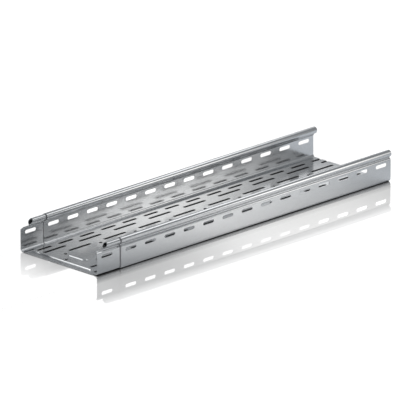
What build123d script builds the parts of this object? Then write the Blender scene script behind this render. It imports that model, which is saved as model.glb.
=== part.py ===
"""Length of perforated cable tray, rolled from one sheet of galvanised steel

X runs along the tray, Y across it and Z up, in millimetres. The origin is at the middle of the
underside. The coupler, a narrower end that slips into the open end of the next length, is at -X,
and seen from there the left wall is at +Y.
"""

from build123d import *
from math import acos, ceil, cos, degrees, radians, sin, sqrt
import os

# Overall sizes
body_length = 700.0  # full-width tray, from the shoulder of the coupler to the open end
coupler_length = 60.0
tray_width = 200.0  # over the walls
tray_height = 60.0
sheet = 1.0
slip = 0.15  # running clearance between a coupler and the tray it enters

# Section of the sheet, with radii on its outer face
bend_radius = 6.0
neck_inset = 2.75  # how far the wall steps in under the bead
neck_height = 0.8  # straight part of the neck
shoulder_angle = 50.0
shoulder_radius = 3.0
hollow_radius = 1.0  # the two bends at the neck that turn outwards
bead_radius = 6.4
bead_overhang = 2.0  # bead past the outer face of the wall
lip_gap = 2.0  # from the rolled-in lip to the neck

# Coupler
joggle_length = 3.0  # slope between the full width and the coupler
corner_lead = 1.0  # width of the raised corner where it starts, at the shoulder
corner_width = 12.0
corner_length = 10.0  # length over which the raised corner widens
slit_inset = 11.0  # from the wall's outer face to the slit that frees the tongue
slit_width = 1.6
slit_length = 24.0
slit_end_radius = 2.0
notch_length = 18.0  # wall with its bead cut away, measured at the foot of the bead
mouth_slant = 12.0  # how far the cut leans back over the height of the bead
wall_corner_radius = 4.0

# Rib and pad pressed up from the floor of the coupler
cross_rib_width = 9.0
cross_rib_height = 1.8
cross_rib_slope = 4.0  # width of its sloping sides, which all but meet
cross_rib_setback = 14.5  # from the coupler's end to the middle of the rib
cross_rib_left_reach = 84.0
cross_rib_right_reach = 72.0  # shorter, to clear the first slot of the row beside it
pad_width = 13.0
pad_height = 1.2
pad_slope = 1.5
pad_length = 46.0
pad_setback = 49.5

# Slots of the walls
wall_slot_length = 28.0
wall_slot_width = 7.0
wall_slot_height = 35.0
wall_slot_pitch = 50.0
coupler_slot_setback = 25.0  # from the coupler's end to the slot in each of its walls
plain_end_flats = 8  # flats in place of the half round, at each end of a slot that isn't bolted

# Slots and holes of the floor
short_slot_length = 36.0
short_slot_pitch = 54.8
long_slot_length = 57.0
long_slot_pitch = 90.0
floor_slot_width = 6.5
hole_diameter = 7.0
end_hole_setback = 24.0
end_hole_offset = 5.0

# Rows of the floor: from the nearer wall to the row, and from the shoulder to its first opening
left_short_row = (20.5, -36.0)
left_outer_row = (37.7, -36.5)
left_inner_row = (61.5, 3.5)
left_hole_row = (70.5, -16.5)
right_short_row = (20.0, -49.0)
right_outer_row = (44.5, -34.0)
right_inner_row = (69.0, 4.0)
bracket_slots = (3, 4)  # slots of the outer rows, counted from 0, that a bracket is bolted to

# Places that follow from the sizes above
half_width = tray_width / 2
open_end = (body_length + coupler_length) / 2
shoulder_x = open_end - body_length
coupler_end = shoulder_x - coupler_length
coupler_depth = sheet + slip  # how far the coupler lies inside the body's outer face
bead_y = half_width + bead_overhang - bead_radius
bead_z = tray_height - bead_radius
hollow_y = half_width - neck_inset + hollow_radius
hollow_angle = degrees(acos((hollow_y - bead_y) / (bead_radius + hollow_radius)))
neck_top = bead_z - (bead_radius + hollow_radius) * sin(radians(hollow_angle))
lip_y = half_width - neck_inset - sheet - lip_gap
lip_angle = 180 + degrees(acos((bead_y - lip_y) / (bead_radius - sheet)))
shoulder_turn = radians(shoulder_angle)
shoulder_bends = shoulder_radius + hollow_radius
shoulder_slope = (neck_inset - shoulder_bends * (1 - cos(shoulder_turn))) / sin(shoulder_turn)
shoulder_height = shoulder_bends * sin(shoulder_turn) + shoulder_slope * cos(shoulder_turn)
shoulder_z = neck_top - neck_height - shoulder_height
cut_margin = 5.0  # how far each cut runs past the sheet


def sheet_face(depth: float, floor_z: float, corner_start: float) -> list[Edge]:
    """One face of the sheet, from the middle of the floor to the lip of the bead

    depth is measured inwards from the outer face of the body, so every bend keeps its centre.
    Beyond corner_start the floor slopes from floor_z to that depth.
    """
    floor = Line((0, floor_z), (corner_start, floor_z))
    corner = Line(floor @ 1, (half_width - bend_radius, depth))
    bend = JernArc(corner @ 1, (1, 0), bend_radius - depth, 90)
    wall = Line(bend @ 1, (half_width - depth, shoulder_z))
    shoulder = JernArc(wall @ 1, (0, 1), shoulder_radius - depth, shoulder_angle)
    slope = Line(shoulder @ 1, shoulder @ 1 + (shoulder % 1) * shoulder_slope)
    hollow = JernArc(slope @ 1, slope % 1, hollow_radius + depth, -shoulder_angle)
    neck = Line(hollow @ 1, (half_width - neck_inset - depth, neck_top))
    flare = JernArc(neck @ 1, (0, 1), hollow_radius + depth, -hollow_angle)
    bead = JernArc(flare @ 1, flare % 1, bead_radius - depth, lip_angle + hollow_angle)
    return [floor, corner, bend, wall, shoulder, slope, hollow, neck, flare, bead]


def half_section(x: float, depth: float, from_shoulder: float) -> Face:
    """Section of the sheet on the +Y side of the tray, square across it at x

    Its lines are drawn outside a builder, which would join the floor and the corner where they
    are in line. Kept apart, they give each section of the shoulder the same edges.
    """
    widening = (corner_width - bend_radius - corner_lead) * from_shoulder / corner_length
    corner_start = half_width - bend_radius - corner_lead - widening
    outer = sheet_face(depth, 0, corner_start)
    inner = sheet_face(depth + sheet, sheet, corner_start)
    middle = Line(outer[0] @ 0, inner[0] @ 0)
    lip = Line(outer[-1] @ 1, inner[-1] @ 1)
    return Plane.YZ.offset(x) * Face(Wire([*outer, lip, *reversed(inner), middle]))


def row_middles(first_start: float, opening: float, pitch: float) -> list[float]:
    """Middles of a row's openings, to the last one that starts before the open end"""
    first = shoulder_x + first_start
    count = ceil((open_end - first) / pitch)
    return [first + opening / 2 + pitch * step for step in range(count)]


def plain_slot(length: float, width: float) -> Sketch:
    """Slot with a few flats for each round end, which keeps a model with many slots light"""
    with BuildSketch(mode=Mode.PRIVATE) as slot:
        Rectangle(length - width, width)
        with Locations(((width - length) / 2, 0), ((length - width) / 2, 0)):
            RegularPolygon(width / 2, 2 * plain_end_flats)
    return slot.sketch


def slot_row(middles: list[float], row_y: float, length: float, width: float, bolted=()):
    """Row of slots along X, of which the bolted ones keep their round ends

    bolted holds their places in the row, counted from 0.
    """
    with Locations([(x, row_y) for place, x in enumerate(middles) if place not in bolted]):
        add(plain_slot(length, width))
    for place in bolted:
        with Locations((middles[place], row_y)):
            SlotOverall(length, width)


shoulder_section = half_section(shoulder_x, 0, 0)
joggle_section = half_section(shoulder_x - joggle_length, coupler_depth, joggle_length)
corner_section = half_section(shoulder_x - corner_length, coupler_depth, corner_length)

with BuildPart() as tray:
    # Half of the body, of the shoulder and of the coupler, then the other half
    extrude(shoulder_section, amount=body_length)
    loft([shoulder_section, joggle_section], ruled=True)
    loft([joggle_section, corner_section], ruled=True)
    extrude(corner_section, amount=corner_length - coupler_length)
    mirror(about=Plane.XZ)

    # Rib and pad of the coupler's floor, raised above it and hollow below
    rib_length = cross_rib_left_reach + cross_rib_right_reach
    rib_middle = (
        coupler_end + cross_rib_setback,
        (cross_rib_left_reach - cross_rib_right_reach) / 2,
    )
    pad_middle = (coupler_end + pad_setback, 0)
    for middle, length, width, height, slope in (
        (rib_middle, rib_length, cross_rib_width, cross_rib_height, cross_rib_slope),
        (pad_middle, pad_length, pad_width, pad_height, pad_slope),
    ):
        for base, mode in ((sheet, Mode.ADD), (0, Mode.SUBTRACT)):
            with BuildSketch(Plane.XY.offset(base)):
                with Locations(middle):
                    SlotOverall(length, width, rotation=90)
            with BuildSketch(Plane.XY.offset(base + height)):
                with Locations(middle):
                    SlotOverall(length - 2 * slope, width - 2 * slope, rotation=90)
            loft(ruled=True, mode=mode)

    # Slits that free the tongue from the raised corners
    with BuildSketch():
        for slit_y in (half_width - slit_inset, slit_inset - half_width):
            with Locations((coupler_end, slit_y)):
                Rectangle(2 * (slit_length - slit_end_radius), slit_width)
            with Locations((coupler_end + slit_length - slit_end_radius, slit_y)):
                Circle(slit_end_radius)
    extrude(amount=cut_margin, both=True, mode=Mode.SUBTRACT)

    # Bead cut away at the end of the coupler, so that it can enter the next tray's beads
    with BuildSketch(Plane.XZ):
        with BuildLine():
            corner = JernArc(
                (coupler_end, neck_top - wall_corner_radius), (0, 1), wall_corner_radius, -90
            )
            Polyline(
                corner @ 1,
                (coupler_end + notch_length, neck_top),
                (coupler_end + notch_length + mouth_slant, tray_height + cut_margin),
                (coupler_end - cut_margin, tray_height + cut_margin),
                (coupler_end - cut_margin, neck_top - wall_corner_radius),
                corner @ 0,
            )
        make_face()
    extrude(amount=half_width + cut_margin, both=True, mode=Mode.SUBTRACT)

    # Slots through both walls, bolted at the coupler and two at each end of the body
    with BuildSketch(Plane.XZ):
        first_slot_start = (wall_slot_pitch - wall_slot_length) / 2
        middles = row_middles(first_slot_start, wall_slot_length, wall_slot_pitch)
        middles.insert(0, coupler_end + coupler_slot_setback)
        bolted = (0, 1, 2, len(middles) - 2, len(middles) - 1)
        slot_row(middles, wall_slot_height, wall_slot_length, wall_slot_width, bolted)
    extrude(amount=half_width + cut_margin, both=True, mode=Mode.SUBTRACT)

    # Rows of slots and holes through the floor
    with BuildSketch():
        for side, (inset, start) in ((1, left_short_row), (-1, right_short_row)):
            row_y = side * (half_width - inset)
            middles = row_middles(start, short_slot_length, short_slot_pitch)
            slot_row(middles, row_y, short_slot_length, floor_slot_width)
        for side, (inset, start), bolted in (
            (1, left_outer_row, bracket_slots),
            (1, left_inner_row, ()),
            (-1, right_outer_row, bracket_slots),
            (-1, right_inner_row, ()),
        ):
            row_y = side * (half_width - inset)
            middles = row_middles(start, long_slot_length, long_slot_pitch)
            slot_row(middles, row_y, long_slot_length, floor_slot_width, bolted)
        hole_inset, hole_start = left_hole_row
        hole_y = half_width - hole_inset
        middles = row_middles(hole_start, hole_diameter, long_slot_pitch)
        with Locations([(x, hole_y) for x in middles]):
            Circle(hole_diameter / 2)
        with Locations((coupler_end + end_hole_setback, end_hole_offset)):
            Circle(hole_diameter / 2)
    extrude(amount=cut_margin, both=True, mode=Mode.SUBTRACT)

tray.part.label = "tray"

os.makedirs("parts", exist_ok=True)
export_step(tray.part, "parts/tray.step")
print("volume", round(tray.part.volume), "mm3, box", tray.part.bounding_box().size)
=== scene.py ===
# %% [markdown]
# # A length of cable tray
# The real thing is one sheet of galvanised steel, perforated flat and then rolled to a channel 200 mm
# wide and 60 mm high. Its top edges are curled into beads, and one end is set in by the thickness of
# the sheet, so that it slips into the open end of the next length.
# The construction model already has every bend and slot at its real size. This lesson gives it what a
# construction model lacks: soft normals over the bends, bare cut edges, a zinc surface and a studio.

# %% Load the model
import bmesh
import bpy
from math import cos, pi, radians, sin
from mathutils import Matrix, Vector


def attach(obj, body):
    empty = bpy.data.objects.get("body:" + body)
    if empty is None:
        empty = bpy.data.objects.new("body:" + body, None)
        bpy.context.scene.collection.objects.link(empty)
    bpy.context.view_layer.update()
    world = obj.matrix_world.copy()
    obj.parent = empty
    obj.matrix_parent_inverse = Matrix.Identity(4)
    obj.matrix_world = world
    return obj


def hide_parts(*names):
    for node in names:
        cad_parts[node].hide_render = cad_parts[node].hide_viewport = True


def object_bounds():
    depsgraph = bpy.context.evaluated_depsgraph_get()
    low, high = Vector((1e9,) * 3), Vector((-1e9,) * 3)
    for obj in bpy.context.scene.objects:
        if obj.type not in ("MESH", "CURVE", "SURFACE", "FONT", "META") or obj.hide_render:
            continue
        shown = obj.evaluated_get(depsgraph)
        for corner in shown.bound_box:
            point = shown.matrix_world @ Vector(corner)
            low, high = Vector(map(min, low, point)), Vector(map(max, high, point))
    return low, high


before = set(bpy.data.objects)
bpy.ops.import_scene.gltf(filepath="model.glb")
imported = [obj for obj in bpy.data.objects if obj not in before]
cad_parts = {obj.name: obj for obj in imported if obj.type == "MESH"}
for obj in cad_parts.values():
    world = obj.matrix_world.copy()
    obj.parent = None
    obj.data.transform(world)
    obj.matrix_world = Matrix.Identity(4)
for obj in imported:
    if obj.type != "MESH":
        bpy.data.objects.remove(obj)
cad_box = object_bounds()
tray_low, tray_high = cad_box
mm = 0.001
print("the tray measures", [round(side / mm, 1) for side in tray_high - tray_low], "mm")

# %% [markdown]
# ## One sheet with soft bends
# The model arrives as loose triangles, which shade as flat facets, and a rolled bead in facets shows
# stripes. So a copy of it is merged, and the triangles of each flat are joined to one large face.
# Edges sharper than a facet of a bend stay hard.

# %% Merge a copy
cad_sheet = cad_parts["tray"]
merge_distance = 0.002 * mm
flat_angle = radians(0.5)
crease_angle = radians(32)

sheet_mesh = cad_sheet.data.copy()
sheet_mesh.materials.clear()
sheet = bmesh.new()
sheet.from_mesh(sheet_mesh)
bmesh.ops.remove_doubles(sheet, verts=sheet.verts, dist=merge_distance)
bmesh.ops.dissolve_limit(sheet, angle_limit=flat_angle, verts=sheet.verts, edges=sheet.edges)
sheet.normal_update()
for face in sheet.faces:
    face.smooth = True
for edge in sheet.edges:
    edge.smooth = len(edge.link_faces) == 2 and edge.calc_face_angle(0) < crease_angle
print("merged sheet:", len(sheet.verts), "points and", len(sheet.faces), "faces")

# %% [markdown]
# ## Four kinds of surface
# The sheet is one piece, but its surface isn't the same all over: bare steel at the cut edges, and
# painted shade at the shoulder and under the beads. A painted mask could tell the kinds apart. Their
# borders are already edges of the mesh, though, so each kind gets a material slot instead, and its
# faces are chosen by where they lie and which way they turn.

# %% Helpers that choose faces
zinc_slot, cut_slot, stretched_and_shaded_slot, under_bead_shade_slot = range(4)
x_axis, z_axis = 0, 2


def lies_within(face, axis, band):
    """Whether all corners of a face lie between two places on an axis"""
    places = [vert.co[axis] for vert in face.verts]
    return band[0] < min(places) and max(places) < band[1]


def give_slot(title, slot, is_chosen):
    """Moves the chosen ones of the zinc's faces to another material slot"""
    chosen = [face for face in sheet.faces if face.material_index == zinc_slot and is_chosen(face)]
    for face in chosen:
        face.material_index = slot
    print(title, len(chosen), "faces")


# %% [markdown]
# ## Cut edges
# The coil is galvanised before the sheet is punched, so slots and ends show a line of bare steel, a
# shade darker and rougher than the zinc. Those faces are as narrow as the sheet is thick.

# %% Choose the cut edges
wall_slots = (30 * mm, 40 * mm)  # heights between which the slots of the walls lie
floor_sheet = (-1 * mm, 1.01 * mm)  # heights between which the sheet of the floor lies
floor_reach = 90 * mm  # from the middle to where the floor starts to bend up
wall_inside = 97.5 * mm
end_on = 0.99
edge_on = 0.1


def is_cut(face):
    """The ends of the sheet, and the sides of a slot: upright in the floor, or across a wall"""
    if abs(face.normal.x) > end_on:
        return True
    if lies_within(face, z_axis, floor_sheet):
        return abs(face.normal.z) < edge_on and abs(face.calc_center_median().y) < floor_reach
    in_wall = abs(face.verts[0].co.y) > wall_inside
    return in_wall and abs(face.normal.y) < edge_on and lies_within(face, z_axis, wall_slots)


give_slot("cut edges:", cut_slot, is_cut)

# %% [markdown]
# ## The shoulder
# Where the coupler is pressed inwards the zinc is stretched and rougher. Its dark colour is painted
# shade in the crease, a thin dark line across both walls.

# %% Choose the shoulder
shoulder = (-323.5 * mm, -319.5 * mm)  # places along the tray
give_slot("shoulder:", stretched_and_shaded_slot, lambda face: lies_within(face, x_axis, shoulder))

# %% [markdown]
# ## Under the beads
# The hollow under each bead gets painted shade: its zinc is made darker, and a little rougher, than on
# the flats. The slope that leads to the hollow faces upwards and keeps its shine.

# %% Choose the hollows
under_bead = (41.5 * mm, 50.8 * mm)  # heights
facing_up = 0.3


def is_under_bead_shade(face):
    return face.normal.z < facing_up and lies_within(face, z_axis, under_bead)


give_slot("hollows:", under_bead_shade_slot, is_under_bead_shade)

# %% [markdown]
# ## Light over the bends
# Smooth shading alone would bend the light on the flats too, because each corner would average its
# faces alike. More facets at each bend would help a little. Weighted Normal adds none and lets the
# large faces decide: the flats stay flat and the bends turn softly between them.

# %% Put the sheet into the scene
sheet.to_mesh(sheet_mesh)
sheet.free()

tray_sheet = bpy.data.objects.new("tray_sheet", sheet_mesh)
bpy.context.scene.collection.objects.link(tray_sheet)
normals = tray_sheet.modifiers.new("flats decide", "WEIGHTED_NORMAL")
normals.keep_sharp = True

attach(tray_sheet, "root")
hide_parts("tray")
print("tray_sheet stands for the node tray with", len(sheet_mesh.polygons), "faces")

# %% [markdown]
# ## Writing a finish as sums
# A material is a net of nodes, and the arithmetic in it is easier to read as arithmetic. Wire wraps
# one socket, so that `1 - mask` adds a Math node. Every other node comes from the one method add.

# %% Wires
class Wire:
    """The output of a node, ready to be used in sums"""

    def __init__(self, finish, socket):
        self.finish = finish
        self.socket = socket

    def sum(self, operation, first, second):
        return self.finish.add("ShaderNodeMath", {"operation": operation}, {0: first, 1: second})

    def __add__(self, other):
        return self.sum("ADD", self, other)

    def __radd__(self, other):
        return self.sum("ADD", other, self)

    def __sub__(self, other):
        return self.sum("SUBTRACT", self, other)

    def __rsub__(self, other):
        return self.sum("SUBTRACT", other, self)

    def __mul__(self, other):
        return self.sum("MULTIPLY", self, other)

    def __rmul__(self, other):
        return self.sum("MULTIPLY", other, self)


# %% Nodes
class Finish:
    """The nodes of one material, of a lamp or of the world"""

    def __init__(self, holder):
        holder.use_nodes = True
        self.tree = holder.node_tree
        self.tree.nodes.clear()

    def add(self, kind, settings=None, sockets=None, out=0):
        node = self.tree.nodes.new(kind)
        for name, value in (settings or {}).items():
            setattr(node, name, value)
        for name, value in (sockets or {}).items():
            if isinstance(value, Wire):
                self.tree.links.new(value.socket, node.inputs[name])
            else:
                node.inputs[name].default_value = value
        return Wire(self, node.outputs[out]) if node.outputs else None

    def multiplied(self, vector, other):
        return self.add("ShaderNodeVectorMath", {"operation": "MULTIPLY"}, {0: vector, 1: other})

    def without_sign(self, value):
        return self.add("ShaderNodeMath", {"operation": "ABSOLUTE"}, {0: value})

    def changing(self, value, start, end, low, high, curve="LINEAR"):
        """A level that goes from low to high while value goes from start to end"""
        return self.add("ShaderNodeMapRange", {"interpolation_type": curve}, {
            "Value": value,
            "From Min": start,
            "From Max": end,
            "To Min": low,
            "To Max": high,
        })


def grey(level):
    return (level, level, level, 1)


# %% [markdown]
# ## Zinc
# Bright galvanised sheet is a satin mirror. Its crystals give it a fine grain of lighter and darker
# spots, and the rollers draw its cloudy shine out along the tray. Noise in two sizes gives both, and
# it fits a tray of any length. The same clouds lift the surface by a hair, which makes the mirror
# images in the walls waver. The other three finishes have the same make-up, but are rougher and darker:
# bare steel at the cut edges, and painted shade at the shoulder and under the beads.

# %% A zinc finish
streaks = (0.12, 1, 1)  # clouds are about eight times as long as wide
cloud_scale = 90.0
cloud_sheen = 0.03  # how far the roughness differs between the clouds
grain_scale = 350.0
darkest_spot, grain_contrast = 0.9, 0.2
relief_height = 0.1 * mm
relief_strength = 0.04


def zinc(name, colour, roughness):
    material = bpy.data.materials.new(name)
    finish = Finish(material)
    place = finish.add("ShaderNodeTexCoord", out="Object")
    drawn_out = finish.multiplied(place, streaks)
    cloud = finish.add("ShaderNodeTexNoise", sockets={
        "Vector": drawn_out,
        "Scale": cloud_scale,
        "Detail": 3.0,
    })
    grain = finish.add("ShaderNodeTexNoise", sockets={
        "Vector": place,
        "Scale": grain_scale,
        "Detail": 2.0,
    })
    relief = finish.add("ShaderNodeBump", sockets={
        "Strength": relief_strength,
        "Distance": relief_height,
        "Height": cloud,
    })
    surface = finish.add("ShaderNodeBsdfPrincipled", sockets={
        "Base Color": finish.multiplied(colour, darkest_spot + grain * grain_contrast),
        "Metallic": 1.0,
        "Roughness": roughness + (cloud - 0.5) * cloud_sheen,
        "Normal": relief,
    })
    finish.add("ShaderNodeOutputMaterial", sockets={"Surface": surface})
    return material


# %% The four finishes, in the order of their slots
finishes = [
    zinc("galvanised sheet", (0.66, 0.67, 0.68), 0.17),
    zinc("cut steel edge", (0.5, 0.5, 0.5), 0.3),
    # painted shade: the shoulder's dark colour stands in for the shade in the crease
    zinc("stretched zinc with painted shade", (0.3, 0.3, 0.31), 0.45),
    # painted shade: the hollows' dark colour stands in for the shade under the beads
    zinc("painted shade under beads", (0.5, 0.51, 0.52), 0.22),
]
for material in finishes:
    tray_sheet.data.materials.append(material)
print("finishes:", [material.name for material in finishes])

# %% [markdown]
# ## Camera
# The photograph was taken from far away with a long lens, so parallel edges stay parallel. The
# direction of view is the one in which the tray's edges slope as in the picture, and the lens follows
# from the width that the picture spans at the tray.

# %% Camera
view_azimuth = radians(45.221)
view_elevation = radians(18.741)
view_distance = 34.5
frame_width = 0.73096  # metres across the picture, at the tray
sensor_width = 36.0
shift_right, shift_up = -11.6 * mm, 29.5 * mm  # from the tray's origin to the picture's middle

view_line = Vector((
    sin(view_azimuth) * cos(view_elevation),
    cos(view_azimuth) * cos(view_elevation),
    -sin(view_elevation),
))
view_right = view_line.cross(Vector((0, 0, 1))).normalized()
view_up = view_right.cross(view_line)
target = shift_right * view_right + shift_up * view_up
camera_data = bpy.data.cameras.new("camera")
camera_data.sensor_width = sensor_width
camera_data.lens = sensor_width * view_distance / frame_width
camera_data.clip_end = 100
camera = bpy.data.objects.new("camera", camera_data)
camera.location = target - view_distance * view_line
camera.rotation_euler = view_line.to_track_quat("-Z", "Y").to_euler()
bpy.context.scene.collection.objects.link(camera)
bpy.context.scene.camera = camera
print("camera", view_distance, "m away, with a lens of", round(camera_data.lens), "mm")

# %% [markdown]
# ## Table and card
# The tray lies on a white table, and the slots of its floor look dark in the photograph. A dark table
# would do that too, but it would show all round. So a black card of painted shade, standing in for the
# shade under the tray, lies there, a little smaller than the tray. Both lie a hair below the tray,
# because two surfaces at the same height would flicker.

# %% Flat pieces of the stage
def flat_piece(name, length, width, height):
    """A rectangle around the middle of the stage"""
    mesh = bpy.data.meshes.new(name)
    shape = bmesh.new()
    bmesh.ops.create_grid(shape, x_segments=1, y_segments=1, size=0.5)
    bmesh.ops.scale(shape, verts=shape.verts, vec=(length, width, 1))
    bmesh.ops.translate(shape, verts=shape.verts, vec=(0, 0, height))
    shape.to_mesh(mesh)
    shape.free()
    piece = bpy.data.objects.new(name, mesh)
    bpy.context.scene.collection.objects.link(piece)
    print(name, "measures", length, "by", width, "m")
    return piece


floor = flat_piece("floor", length=12.0, width=12.0, height=-0.2 * mm)
shade_card = flat_piece("painted_shade_card", length=0.758, width=0.195, height=-0.1 * mm)

# %% Painted shade card
shade_card_material = bpy.data.materials.new("painted shade card")
finish = Finish(shade_card_material)
# painted shade: the card's near-black colour stands in for the shade under the tray
surface = finish.add("ShaderNodeBsdfDiffuse", sockets={"Color": (0.03, 0.03, 0.032, 1)})
finish.add("ShaderNodeOutputMaterial", sockets={"Surface": surface})
shade_card.data.materials.append(shade_card_material)
print("under the tray:", shade_card_material.name)

# %% [markdown]
# ## How far from the tray
# What the table looks like depends on how far a place on it lies beyond the tray's ends and walls.
# Both distances come from the place's coordinates without their signs, less the half length and the
# half width of the tray.

# %% Distances on the table
table_material = bpy.data.materials.new("glossy white table")
table = Finish(table_material)
half_footprint = (380 * mm, 100 * mm, 0)

place = table.add("ShaderNodeTexCoord", out="Object")
either_side = table.add("ShaderNodeVectorMath", {"operation": "ABSOLUTE"}, {0: place})
beyond = table.add("ShaderNodeVectorMath", {"operation": "SUBTRACT"}, {0: either_side, 1: half_footprint})
beyond_ends = table.add("ShaderNodeSeparateXYZ", sockets={"Vector": beyond}, out="X")
beyond_walls = table.add("ShaderNodeSeparateXYZ", sockets={"Vector": beyond}, out="Y")
along_tray = table.add("ShaderNodeSeparateXYZ", sockets={"Vector": place}, out="X")

# %% [markdown]
# ## The table in the metal
# The tray's outer walls reflect the table beside them, so its brightness there is theirs. In the
# photograph they are brightest near the middle, and bluer and darker towards both ends. Rays that
# leave the metal therefore see white paper with a painted pool of light on it, brightest near the
# middle and by the walls, bluer and darker towards the ends, under a thin gloss.

# %% Paper with a gloss
# painted light: the paper's colour is a pool of light, brightest at one place along the tray and by the
# walls
brightest_place = -40 * mm  # along the tray
shade_reach = 420 * mm
pool_end_colour = (0.505, 0.53, 0.56)  # red, green and blue that are left at the reach
off_middle = table.without_sign(along_tray - brightest_place)
red, green, blue = [table.changing(off_middle, 0.0, shade_reach, 1.0, left) for left in pool_end_colour]
painted_pool = table.add("ShaderNodeCombineXYZ", sockets={"X": red, "Y": green, "Z": blue})
painted_light_by_wall = table.changing(beyond_walls, 0.0, 80 * mm, 1.0, 0.84)
paper = table.add("ShaderNodeBsdfPrincipled", sockets={
    "Base Color": table.multiplied(painted_pool, painted_light_by_wall),
    "Roughness": 1.0,
    "Specular IOR Level": 0.0,
})
gloss_share = 0.2
gloss = table.add("ShaderNodeBsdfGlossy", sockets={"Roughness": 0.1})
in_metal = table.add("ShaderNodeMixShader", sockets={0: gloss_share, 1: paper, 2: gloss})
print("the ends of the tray see the table's red, green and blue down to", pool_end_colour)

# %% [markdown]
# ## The table in the picture
# The camera sees a white ground with the tray's soft shadow, and a mirror image of the walls that
# fades with distance. The ground glows by itself up to nearly white, and the rest is lit, so that a
# shadow stays.

# %% White ground
glow_level = 0.76
lit_level = 0.3
lit = table.add("ShaderNodeBsdfDiffuse", sockets={"Color": grey(lit_level)})
glow = table.add("ShaderNodeEmission", sockets={"Strength": glow_level})
white = table.add("ShaderNodeAddShader", sockets={0: lit, 1: glow})

# %% Mirror image
mirror_tint = 0.5
image_width = 85 * mm  # from the wall to where its mirror image starts to fade out
near_wall = table.changing(beyond_walls, 0.0, 30 * mm, 0.95, 0.52)
fading_out = table.changing(beyond_walls - image_width, 0.0, 50 * mm, 1.0, 0.25)
beside_wall = near_wall * fading_out
at_end = table.changing(beyond_ends, 0.0, 2 * mm, 1.0, 0.55)
before_end = at_end * table.changing(beyond_ends, 0.0, 120 * mm, 1.0, 0.1)
past_wall = table.changing(beyond_walls, 0.0, 4 * mm, 0.0, 1.0)
mirror_share = beside_wall * (past_wall + (1 - past_wall) * before_end)
mirror = table.add("ShaderNodeBsdfGlossy", sockets={"Roughness": 0.0, "Color": grey(mirror_tint)})
in_picture = table.add("ShaderNodeMixShader", sockets={0: mirror_share, 1: white, 2: mirror})

# %% Join the two
path_camera = table.add("ShaderNodeLightPath", out="Is Camera Ray")
surface = table.add("ShaderNodeMixShader", sockets={0: path_camera, 1: in_metal, 2: in_picture})
table.add("ShaderNodeOutputMaterial", sockets={"Surface": surface})
floor.data.materials.append(table_material)
print("the table's nodes:", len(table_material.node_tree.nodes))

# %% [markdown]
# ## The room
# The background of the picture is white, but a tray in an all-white room would lose its shape. So
# the camera and the table's mirror see white, while the metal sees a dim and slightly blue room,
# which the softboxes then brighten where the photograph has light. The table is lit from behind.
# A ray from a perfect mirror is singular, and one from the satin metal isn't, which tells them apart.

# %% Levels of the room
world = bpy.data.worlds.new("studio")
bpy.context.scene.world = world
room = Finish(world)
direction = room.add("ShaderNodeTexCoord", out="Generated")


def glow_towards(way, edge, core, low, high):
    """The level low all around, which rises to high towards one way"""
    nearness = room.add("ShaderNodeVectorMath", {"operation": "DOT_PRODUCT"},
                        {0: direction, 1: Vector(way).normalized()}, out="Value")
    return room.changing(nearness, edge, core, low, high, "SMOOTHSTEP")


white_level = 1.02
room_tint = (0.93, 0.965, 1, 1)
floor_sees = Vector((0.672, 0.667, 0.321))  # the way that the camera's rays leave the tray's floor
dim_level, backdrop_level = 0.3, 0.33
backdrop = glow_towards(floor_sees, 0.5, 0.9, dim_level, backdrop_level)
table_light = glow_towards((0.25, 0.9, 0.45), 0.75, 0.97, 0.7, 4.5)

# %% Who sees which room
path_camera = room.add("ShaderNodeLightPath", out="Is Camera Ray")
path_matt = room.add("ShaderNodeLightPath", out="Is Diffuse Ray")
path_mirror = room.add("ShaderNodeLightPath", out="Is Singular Ray")
level = path_camera * white_level + path_matt * table_light + path_mirror * (white_level / mirror_tint)
white_room = room.add("ShaderNodeBackground", sockets={"Color": grey(1), "Strength": level})
dim_room = room.add("ShaderNodeBackground", sockets={"Color": room_tint, "Strength": backdrop})
off_metal = (1 - path_camera) * (1 - path_matt) * (1 - path_mirror)
background = room.add("ShaderNodeMixShader", sockets={0: off_metal, 1: white_room, 2: dim_room})
room.add("ShaderNodeOutputWorld", sockets={"Surface": background})
print("the metal sees a room of", dim_level, "to", backdrop_level, "and the camera sees", white_level)

# %% [markdown]
# ## Softboxes
# Metal shows its lamps, so each softbox is placed by what the metal should show. A real softbox is
# brightest in its middle, and one with a hard rim would draw hard lines along the beads. Each panel
# therefore fades towards its rim.

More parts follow.
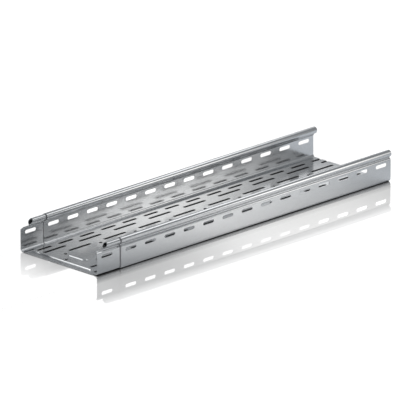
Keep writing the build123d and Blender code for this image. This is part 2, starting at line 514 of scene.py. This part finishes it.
# %% A softbox
def softbox(name, centre, aim, width, height, radiance, turn=0.0, fade=0.0, colour=(1, 1, 1), in_metal=True):
    """A panel that is as bright as radiance says, whatever its size"""
    lamp_data = bpy.data.lights.new(name, "AREA")
    lamp_data.shape = "RECTANGLE"
    lamp_data.size = width
    lamp_data.size_y = height
    lamp_data.energy = radiance * pi * width * height
    lamp_data.color = colour
    finish = Finish(lamp_data)
    place = finish.add("ShaderNodeNewGeometry", out="Parametric")
    full = min(1.0 - fade, 0.999)
    shares = []
    for axis in ("X", "Y"):
        along = finish.add("ShaderNodeSeparateXYZ", sockets={"Vector": place}, out=axis)
        off_centre = finish.without_sign(along * 2.0 - 1.0)
        shares.append(finish.changing(off_centre, 1.0, full, 0.0, 1.0, "SMOOTHSTEP"))
    glow = finish.add("ShaderNodeEmission", sockets={"Strength": shares[0] * shares[1]})
    finish.add("ShaderNodeOutputLight", sockets={"Surface": glow})
    lamp = bpy.data.objects.new(name, lamp_data)
    lamp.location = centre
    facing = (Vector(aim) - Vector(centre)).to_track_quat("-Z", "Y")
    lamp.rotation_euler = (facing.to_matrix() @ Matrix.Rotation(turn, 3, "Z")).to_euler()
    lamp.visible_camera = False
    lamp.visible_glossy = in_metal
    bpy.context.scene.collection.objects.link(lamp)
    print(name, "of", width, "by", height, "m")


# %% [markdown]
# ## Light for the inside
# A ray from the camera that meets both the floor and the far wall leaves to the camera's right, over
# the near wall. The side softbox stands there, slightly warm, and brightens the middle of both.

# %% Side softbox
panel_distance = 0.8
side_way = Vector((0.672, -0.68, 0.28)).normalized()
side_middle = Vector((0.05, 0.02, 0.03))
softbox("side softbox", side_middle + panel_distance * side_way, side_middle,
        width=0.53, height=0.6, radiance=1.62, turn=radians(-40), fade=0.9, colour=(1.0, 0.975, 0.94))

# %% [markdown]
# ## Light for the beads
# The overhead softbox is turned across the tray, so that its stripe wanders over the beads along their
# length, as in the photograph. A small lamp that the metal doesn't show fills the shadow in front of
# the tray. A low strip lights the outer side of the near bead.

# %% Overhead softbox, fill and strip
softbox("overhead softbox", (0.48, 0.09, 0.63), (0.48, 0.09, 0),
        width=1.5, height=0.4, radiance=1.2, turn=radians(45), fade=0.5)
softbox("front fill", (-0.2, -0.55, 0.45), (-0.15, -0.25, 0),
        width=0.2, height=0.2, radiance=2.0, in_metal=False)
softbox("bead strip", (0.25, -0.53, 0.16), (-0.15, -0.1, 0.055),
        width=0.5, height=0.14, radiance=0.7, fade=0.6)

# %% [markdown]
# ## Light from behind
# The low backdrop is what the floor mirrors over the far wall, and it shows through the slots of the
# near wall. The back softbox hangs higher and lights the slopes of the pressed relief.

# %% Low backdrop and back softbox
back_distance = 1.2
low_middle = Vector((0, -0.046, -0.05))
softbox("low backdrop", low_middle + panel_distance * floor_sees, low_middle,
        width=0.9, height=0.11, radiance=0.9, fade=0.4)
back_way = Vector((-0.05, 0.667, 0.74)).normalized()
back_middle = Vector((0.05, 0, 0.03))
softbox("back softbox", back_middle + back_distance * back_way, back_middle,
        width=1.5, height=0.4, radiance=1.5, fade=0.4)

# %% [markdown]
# ## Finish
# The Standard view keeps the colours as they are lit.

# %% Finish
bpy.context.scene.view_settings.view_transform = "Standard"
